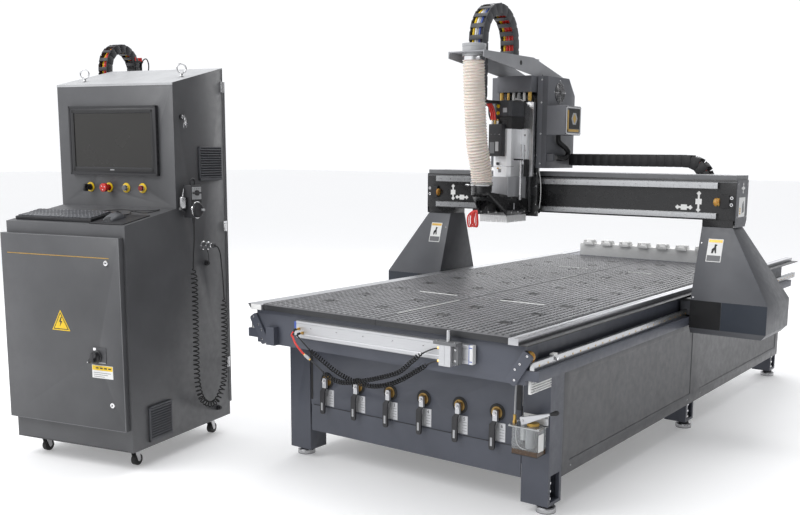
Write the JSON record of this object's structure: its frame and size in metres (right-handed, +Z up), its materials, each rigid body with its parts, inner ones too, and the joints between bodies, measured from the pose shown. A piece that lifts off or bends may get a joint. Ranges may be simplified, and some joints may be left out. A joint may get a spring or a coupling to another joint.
{
  "type": "cnc router",
  "caption": "Gantry router with a grooved vacuum deck, suction hood and hose on the spindle, and a free-standing control cabinet with screen and pendant.",
  "frame": {"origin": "centre of the footprint of the machine and its cabinet together, on the floor", "axes": "+X to the operator's right as they face the front of the table, +Y from the front of the table to its back, +Z up"},
  "size_m": [3.2554, 4.3734, 2.262],
  "materials": {
    "frame_paint": "satin powder coat, blue-grey",
    "cover_paint": "satin powder coat, charcoal",
    "black_coat": "satin black",
    "bright_steel": "ground",
    "bare_aluminium": "satin anodised",
    "deck_board": "grooved phenolic sheet",
    "hose_film": "ribbed translucent",
    "valve_brass": "dull",
    "red_plastic": "moulded",
    "grey_plastic": "moulded",
    "black_plastic": "moulded",
    "bristle": "nylon bristles",
    "cord_rubber": "matt",
    "oil_jar": "clear jar of oil"
  },
  "bodies": {
    "machine_base": {"base_frame": "frame_paint", "front_panel": "frame_paint", "left_side_panel": "frame_paint", "right_side_panel": "frame_paint", "vacuum_deck": "deck_board", "left_edge_strip": "bare_aluminium", "right_edge_strip": "bare_aluminium", "left_rail": "bright_steel", "right_rail": "bright_steel", "valve_manifold": "valve_brass", "slide_profile": "bare_aluminium", "upper_curly_hose": "cord_rubber", "lower_curly_hose": "cord_rubber", "lube_pump": "oil_jar", "tool_rack": "bare_aluminium", "cabinet_body": "cover_paint", "monitor": "black_plastic", "keyboard": "black_plastic", "mouse": "black_plastic", "pendant": "black_plastic", "pendant_cord": "cord_rubber", "cabinet_chain": "black_plastic"},
    "zone_lever_1": {"valve_lever_1": "black_coat"},
    "zone_lever_2": {"valve_lever_2": "black_coat"},
    "zone_lever_3": {"valve_lever_3": "black_coat"},
    "zone_lever_4": {"valve_lever_4": "black_coat"},
    "zone_lever_5": {"valve_lever_5": "black_coat"},
    "zone_lever_6": {"valve_lever_6": "black_coat"},
    "stop_slider": {"slide_carriage": "bare_aluminium"},
    "lube_handle": {"lube_lever": "bare_aluminium"},
    "gantry": {"gantry_beam": "black_coat", "left_gantry_leg": "cover_paint", "right_gantry_leg": "cover_paint", "x_cable_chain": "black_plastic"},
    "head_carriage": {"x_carriage": "black_coat", "head_housing": "cover_paint", "hose_bracket": "cover_paint", "z_cable_chain": "black_plastic", "dust_hose": "hose_film"},
    "z_head": {"z_plate": "bare_aluminium", "spindle_body": "bright_steel"},
    "spindle": {"spindle_rotor": "bright_steel"},
    "suction_hood": {"dust_hood": "black_plastic", "brush_skirt": "bristle"},
    "front_door_leaf": {"front_door": "cover_paint"},
    "rear_door_leaf": {"rear_door": "cover_paint"},
    "isolator_knob": {"main_switch": "black_plastic"},
    "selector_knob": {"selector_switch": "black_plastic"},
    "emergency_button": {"emergency_stop": "red_plastic"},
    "start_plunger": {"start_button": "grey_plastic"},
    "stop_plunger": {"stop_button": "red_plastic"},
    "hand_wheel": {"pendant_wheel": "bright_steel"},
    "caster_swivel_1": {"caster_fork_1": "bright_steel"},
    "caster_roller_1": {"caster_wheel_1": "black_plastic"},
    "caster_swivel_2": {"caster_fork_2": "bright_steel"},
    "caster_roller_2": {"caster_wheel_2": "black_plastic"},
    "caster_swivel_3": {"caster_fork_3": "bright_steel"},
    "caster_roller_3": {"caster_wheel_3": "black_plastic"},
    "caster_swivel_4": {"caster_fork_4": "bright_steel"},
    "caster_roller_4": {"caster_wheel_4": "black_plastic"}
  },
  "joints": [
    {"name": "valve_lever_1_turn", "type": "hinge", "parent": "machine_base", "child": "zone_lever_1", "pos_m": [0.00265, -1.3833, 0.405], "axis": [0, 1, 0], "range_deg": [0, 90]},
    {"name": "valve_lever_2_turn", "type": "hinge", "parent": "machine_base", "child": "zone_lever_2", "pos_m": [0.19065, -1.3833, 0.405], "axis": [0, 1, 0], "range_deg": [0, 90]},
    {"name": "valve_lever_3_turn", "type": "hinge", "parent": "machine_base", "child": "zone_lever_3", "pos_m": [0.37665, -1.3833, 0.405], "axis": [0, 1, 0], "range_deg": [0, 90]},
    {"name": "valve_lever_4_turn", "type": "hinge", "parent": "machine_base", "child": "zone_lever_4", "pos_m": [0.56165, -1.3833, 0.405], "axis": [0, 1, 0], "range_deg": [0, 90]},
    {"name": "valve_lever_5_turn", "type": "hinge", "parent": "machine_base", "child": "zone_lever_5", "pos_m": [0.75065, -1.3833, 0.405], "axis": [0, 1, 0], "range_deg": [0, 90]},
    {"name": "valve_lever_6_turn", "type": "hinge", "parent": "machine_base", "child": "zone_lever_6", "pos_m": [0.93665, -1.3833, 0.405], "axis": [0, 1, 0], "range_deg": [0, 90]},
    {"name": "stop_slide", "type": "slide", "parent": "machine_base", "child": "stop_slider", "axis": [1, 0, 0], "range_m": [-0.66, 0.03], "deforming": ["upper_curly_hose", "lower_curly_hose"]},
    {"name": "lube_lever_pull", "type": "hinge", "parent": "machine_base", "child": "lube_handle", "pos_m": [1.09365, -1.4183, 0.41], "axis": [0, -1, 0], "range_deg": [-10, 20]},
    {"name": "gantry_travel", "type": "slide", "parent": "machine_base", "child": "gantry", "axis": [0, 1, 0], "range_m": [-1.4, 1.48]},
    {"name": "head_cross_travel", "type": "slide", "parent": "gantry", "child": "head_carriage", "axis": [1, 0, 0], "range_m": [-0.44, 0.9], "deforming": ["x_cable_chain"]},
    {"name": "spindle_height", "type": "slide", "parent": "head_carriage", "child": "z_head", "axis": [0, 0, 1], "range_m": [-0.2, 0.03], "deforming": ["z_cable_chain", "dust_hose"]},
    {"name": "spindle_spin", "type": "hinge", "parent": "z_head", "child": "spindle", "pos_m": [0.19365, -0.0733, 1.2], "axis": [0, 0, 1], "continuous": true},
    {"name": "hood_lift", "type": "slide", "parent": "z_head", "child": "suction_hood", "axis": [0, 0, 1], "range_m": [-0.05, 0.05]},
    {"name": "front_door_swing", "type": "hinge", "parent": "machine_base", "child": "front_door_leaf", "pos_m": [-1.29725, -2.16172, 0.64], "axis": [0, 0, -1], "range_deg": [0, 110]},
    {"name": "rear_door_swing", "type": "hinge", "parent": "machine_base", "child": "rear_door_leaf", "pos_m": [-0.76735, -1.26227, 0.98], "axis": [0, 0, -1], "range_deg": [0, 100]},
    {"name": "main_switch_turn", "type": "hinge", "parent": "front_door_leaf", "child": "isolator_knob", "pos_m": [-0.75492, -2.07253, 0.54], "axis": [-0.2088, 0.978, 0], "range_deg": [0, 90]},
    {"name": "selector_turn", "type": "hinge", "parent": "machine_base", "child": "selector_knob", "pos_m": [-1.17641, -1.78417, 1.287], "axis": [-0.2088, 0.978, 0], "range_deg": [-45, 45]},
    {"name": "emergency_stop_press", "type": "slide", "parent": "machine_base", "child": "emergency_button", "axis": [-0.2088, 0.978, 0], "range_m": [0, 0.006], "stiffness_N_per_m": 900},
    {"name": "start_button_press", "type": "slide", "parent": "machine_base", "child": "start_plunger", "axis": [-0.2088, 0.978, 0], "range_m": [0, 0.005], "stiffness_N_per_m": 600},
    {"name": "stop_button_press", "type": "slide", "parent": "machine_base", "child": "stop_plunger", "axis": [-0.2088, 0.978, 0], "range_m": [0, 0.005], "stiffness_N_per_m": 600},
    {"name": "hand_wheel_turn", "type": "hinge", "parent": "machine_base", "child": "hand_wheel", "pos_m": [-0.63083, -1.57415, 1.188], "axis": [0.978, 0.2088, 0], "continuous": true},
    {"name": "caster_swivel_1_turn", "type": "hinge", "parent": "machine_base", "child": "caster_swivel_1", "pos_m": [-1.23179, -2.05163, 0.08], "axis": [0, 0, 1], "continuous": true},
    {"name": "caster_wheel_1_roll", "type": "hinge", "parent": "caster_swivel_1", "child": "caster_roller_1", "pos_m": [-1.23555, -2.03402, 0.0275], "axis": [0.978, 0.2088, 0], "continuous": true},
    {"name": "caster_swivel_2_turn", "type": "hinge", "parent": "machine_base", "child": "caster_swivel_2", "pos_m": [-1.35496, -1.47463, 0.08], "axis": [0, 0, 1], "continuous": true},
    {"name": "caster_wheel_2_roll", "type": "hinge", "parent": "caster_swivel_2", "child": "caster_roller_2", "pos_m": [-1.35872, -1.45702, 0.0275], "axis": [0.978, 0.2088, 0], "continuous": true},
    {"name": "caster_swivel_3_turn", "type": "hinge", "parent": "machine_base", "child": "caster_swivel_3", "pos_m": [-0.69782, -1.93764, 0.08], "axis": [0, 0, 1], "continuous": true},
    {"name": "caster_wheel_3_roll", "type": "hinge", "parent": "caster_swivel_3", "child": "caster_roller_3", "pos_m": [-0.70158, -1.92004, 0.0275], "axis": [0.978, 0.2088, 0], "continuous": true},
    {"name": "caster_swivel_4_turn", "type": "hinge", "parent": "machine_base", "child": "caster_swivel_4", "pos_m": [-0.82099, -1.36064, 0.08], "axis": [0, 0, 1], "continuous": true},
    {"name": "caster_wheel_4_roll", "type": "hinge", "parent": "caster_swivel_4", "child": "caster_roller_4", "pos_m": [-0.82475, -1.34304, 0.0275], "axis": [0.978, 0.2088, 0], "continuous": true}
  ]
}
